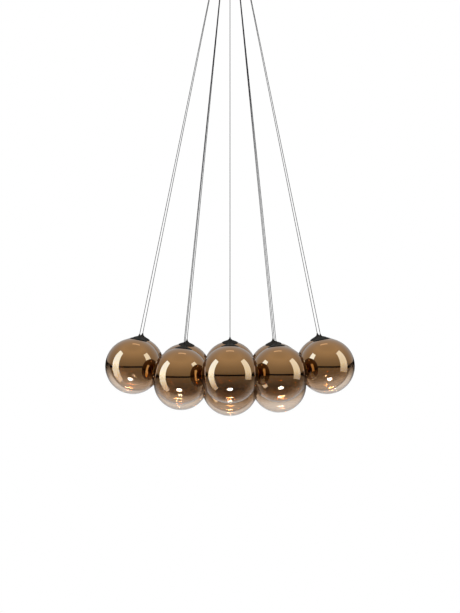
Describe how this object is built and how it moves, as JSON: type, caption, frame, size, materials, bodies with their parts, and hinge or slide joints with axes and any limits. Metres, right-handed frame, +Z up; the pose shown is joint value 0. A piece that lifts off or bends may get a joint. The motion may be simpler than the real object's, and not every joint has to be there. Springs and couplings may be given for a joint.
{
  "type": "cluster pendant",
  "caption": "Cluster pendant: mirrored bronze glass globes with dark caps hang in a tight raft on thin straight cords that fan out from a round ceiling canopy.",
  "frame": {"origin": "centre of the ceiling plate's top face, which lies on the ceiling", "axes": "+Z up, +X to the right and +Y away from someone who looks at the front"},
  "size_m": [0.8056, 0.7218, 1.4351],
  "materials": {
    "mirrored_glass": "polished, mirrored bronze on top and clear smoky glass below",
    "cap_metal": "satin black",
    "lamp_metal": "satin",
    "cord_sheath": "matte black",
    "canopy_paint": "satin black",
    "zinc_steel": "zinc plated",
    "grip_plastic": "matte black",
    "driver_plastic": "matte white"
  },
  "bodies": {
    "canopy": {"canopy_cover": "canopy_paint", "ceiling_plate": "zinc_steel", "cord_grips": "grip_plastic", "driver_unit": "driver_plastic"},
    "pendant_far_left_front": {"globe_far_left_front": "mirrored_glass", "cap_far_left_front": "cap_metal", "light_far_left_front": "lamp_metal", "cord_far_left_front": "cord_sheath"},
    "pendant_far_left_back": {"globe_far_left_back": "mirrored_glass", "cap_far_left_back": "cap_metal", "light_far_left_back": "lamp_metal", "cord_far_left_back": "cord_sheath"},
    "pendant_left_front": {"globe_left_front": "mirrored_glass", "cap_left_front": "cap_metal", "light_left_front": "lamp_metal", "cord_left_front": "cord_sheath"},
    "pendant_left_inner": {"globe_left_inner": "mirrored_glass", "cap_left_inner": "cap_metal", "light_left_inner": "lamp_metal", "cord_left_inner": "cord_sheath"},
    "pendant_left_back": {"globe_left_back": "mirrored_glass", "cap_left_back": "cap_metal", "light_left_back": "lamp_metal", "cord_left_back": "cord_sheath"},
    "pendant_centre_front": {"globe_centre_front": "mirrored_glass", "cap_centre_front": "cap_metal", "light_centre_front": "lamp_metal", "cord_centre_front": "cord_sheath"},
    "pendant_centre_inner_front": {"globe_centre_inner_front": "mirrored_glass", "cap_centre_inner_front": "cap_metal", "light_centre_inner_front": "lamp_metal", "cord_centre_inner_front": "cord_sheath"},
    "pendant_centre_inner_back": {"globe_centre_inner_back": "mirrored_glass", "cap_centre_inner_back": "cap_metal", "light_centre_inner_back": "lamp_metal", "cord_centre_inner_back": "cord_sheath"},
    "pendant_centre_back": {"globe_centre_back": "mirrored_glass", "cap_centre_back": "cap_metal", "light_centre_back": "lamp_metal", "cord_centre_back": "cord_sheath"},
    "pendant_right_front": {"globe_right_front": "mirrored_glass", "cap_right_front": "cap_metal", "light_right_front": "lamp_metal", "cord_right_front": "cord_sheath"},
    "pendant_right_inner": {"globe_right_inner": "mirrored_glass", "cap_right_inner": "cap_metal", "light_right_inner": "lamp_metal", "cord_right_inner": "cord_sheath"},
    "pendant_right_back": {"globe_right_back": "mirrored_glass", "cap_right_back": "cap_metal", "light_right_back": "lamp_metal", "cord_right_back": "cord_sheath"},
    "pendant_far_right_front": {"globe_far_right_front": "mirrored_glass", "cap_far_right_front": "cap_metal", "light_far_right_front": "lamp_metal", "cord_far_right_front": "cord_sheath"},
    "pendant_far_right_back": {"globe_far_right_back": "mirrored_glass", "cap_far_right_back": "cap_metal", "light_far_right_back": "lamp_metal", "cord_far_right_back": "cord_sheath"}
  },
  "joints": [
    {"name": "swing_far_left_front", "type": "hinge", "parent": "canopy", "child": "pendant_far_left_front", "pos_m": [-0.06341, -0.01831, -0.046], "axis": [-0.5, 0.866, 0], "range_deg": [0, 20]},
    {"name": "swing_far_left_back", "type": "hinge", "parent": "canopy", "child": "pendant_far_left_back", "pos_m": [-0.06341, 0.01831, -0.046], "axis": [0.5, 0.866, 0], "range_deg": [0, 20]},
    {"name": "swing_left_front", "type": "hinge", "parent": "canopy", "child": "pendant_left_front", "pos_m": [-0.03114, -0.03596, -0.046], "axis": [-0.866, 0.5, 0], "range_deg": [0, 20]},
    {"name": "twist_left_inner", "type": "hinge", "parent": "canopy", "child": "pendant_left_inner", "pos_m": [-0.03142, 0, -0.046], "axis": [0.1001, 0, 0.995], "range_deg": [-90, 90], "stiffness_Nm_per_rad": 0.002},
    {"name": "swing_left_back", "type": "hinge", "parent": "canopy", "child": "pendant_left_back", "pos_m": [-0.03122, 0.03605, -0.046], "axis": [0.866, 0.5, 0], "range_deg": [0, 20]},
    {"name": "swing_centre_front", "type": "hinge", "parent": "canopy", "child": "pendant_centre_front", "pos_m": [0, -0.05426, -0.046], "axis": [-1, 0, 0], "range_deg": [0, 20]},
    {"name": "twist_centre_inner_front", "type": "hinge", "parent": "canopy", "child": "pendant_centre_inner_front", "pos_m": [0, -0.01751, -0.046], "axis": [0, 0.0559, 0.9984], "range_deg": [-90, 90], "stiffness_Nm_per_rad": 0.002},
    {"name": "twist_centre_inner_back", "type": "hinge", "parent": "canopy", "child": "pendant_centre_inner_back", "pos_m": [0, 0.01751, -0.046], "axis": [0, -0.0559, 0.9984], "range_deg": [-90, 90], "stiffness_Nm_per_rad": 0.002},
    {"name": "swing_centre_back", "type": "hinge", "parent": "canopy", "child": "pendant_centre_back", "pos_m": [0, 0.0543, -0.046], "axis": [1, 0, 0], "range_deg": [0, 20]},
    {"name": "swing_right_front", "type": "hinge", "parent": "canopy", "child": "pendant_right_front", "pos_m": [0.03128, -0.03612, -0.046], "axis": [-0.866, -0.5, 0], "range_deg": [0, 20]},
    {"name": "twist_right_inner", "type": "hinge", "parent": "canopy", "child": "pendant_right_inner", "pos_m": [0.03126, 0, -0.046], "axis": [-0.0996, 0, 0.995], "range_deg": [-90, 90], "stiffness_Nm_per_rad": 0.002},
    {"name": "swing_right_back", "type": "hinge", "parent": "canopy", "child": "pendant_right_back", "pos_m": [0.03128, 0.03612, -0.046], "axis": [0.866, -0.5, 0], "range_deg": [0, 20]},
    {"name": "swing_far_right_front", "type": "hinge", "parent": "canopy", "child": "pendant_far_right_front", "pos_m": [0.06341, -0.01831, -0.046], "axis": [-0.5, -0.866, 0], "range_deg": [0, 20]},
    {"name": "swing_far_right_back", "type": "hinge", "parent": "canopy", "child": "pendant_far_right_back", "pos_m": [0.06341, 0.01831, -0.046], "axis": [0.5, -0.866, 0], "range_deg": [0, 20]}
  ]
}
